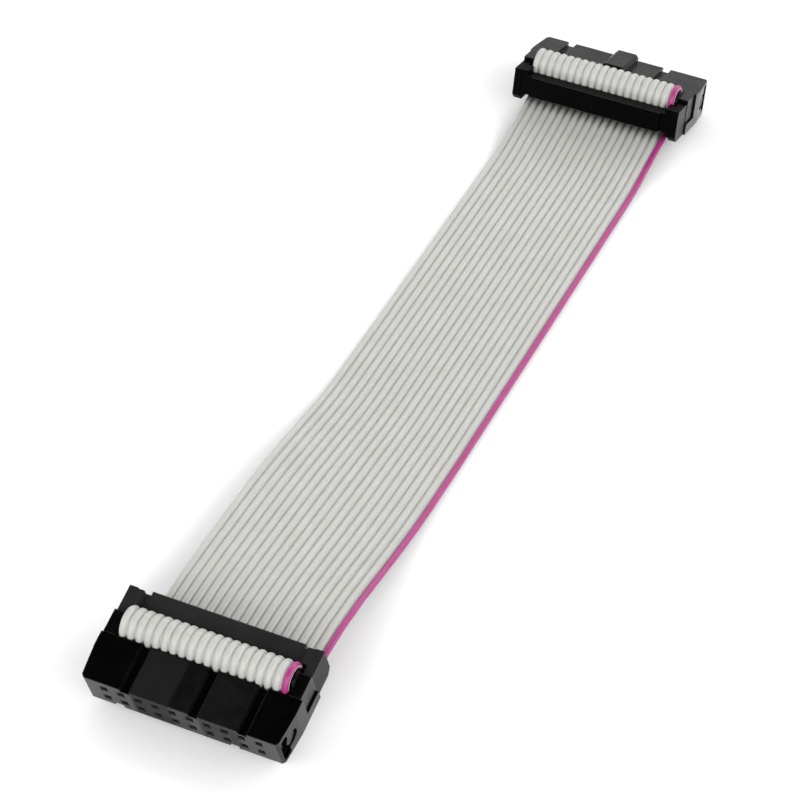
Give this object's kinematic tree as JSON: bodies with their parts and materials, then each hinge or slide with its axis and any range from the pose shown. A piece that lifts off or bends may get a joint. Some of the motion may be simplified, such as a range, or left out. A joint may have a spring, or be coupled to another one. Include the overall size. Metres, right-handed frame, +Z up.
{
  "type": "ribbon cable",
  "caption": "Flat grey ribbon cable with a coloured edge stripe, folded back through a black insulation displacement socket with strain relief at each end.",
  "frame": {"origin": "on the table under the middle of the cable, centred between the outer edges of the two mating faces", "axes": "+Y along the ribbon from the near socket to the far one, +X across the ribbon towards its striped edge, +Z up from the table"},
  "size_m": [0.0298, 0.1606, 0.0114],
  "materials": {
    "body_plastic": "satin moulded black",
    "cover_plastic": "satin moulded black",
    "strain_relief_plastic": "satin moulded black",
    "ribbon": "satin light grey flexible PVC",
    "contact_metal": "plated spring metal"
  },
  "bodies": {
    "root": {"near_body": "body_plastic", "near_cover": "cover_plastic", "near_strain_relief": "strain_relief_plastic", "far_body": "body_plastic", "far_cover": "cover_plastic", "far_strain_relief": "strain_relief_plastic", "ribbon_cable": "ribbon", "near_contact_01": "contact_metal", "near_contact_02": "contact_metal", "near_contact_03": "contact_metal", "near_contact_04": "contact_metal", "near_contact_05": "contact_metal", "near_contact_06": "contact_metal", "near_contact_07": "contact_metal", "near_contact_08": "contact_metal", "near_contact_09": "contact_metal", "near_contact_10": "contact_metal", "near_contact_11": "contact_metal", "near_contact_12": "contact_metal", "near_contact_13": "contact_metal", "near_contact_14": "contact_metal", "near_contact_15": "contact_metal", "near_contact_16": "contact_metal", "near_contact_17": "contact_metal", "near_contact_18": "contact_metal", "near_contact_19": "contact_metal", "near_contact_20": "contact_metal", "far_contact_01": "contact_metal", "far_contact_02": "contact_metal", "far_contact_03": "contact_metal", "far_contact_04": "contact_metal", "far_contact_05": "contact_metal", "far_contact_06": "contact_metal", "far_contact_07": "contact_metal", "far_contact_08": "contact_metal", "far_contact_09": "contact_metal", "far_contact_10": "contact_metal", "far_contact_11": "contact_metal", "far_contact_12": "contact_metal", "far_contact_13": "contact_metal", "far_contact_14": "contact_metal", "far_contact_15": "contact_metal", "far_contact_16": "contact_metal", "far_contact_17": "contact_metal", "far_contact_18": "contact_metal", "far_contact_19": "contact_metal", "far_contact_20": "contact_metal"}
  },
  "joints": []
}
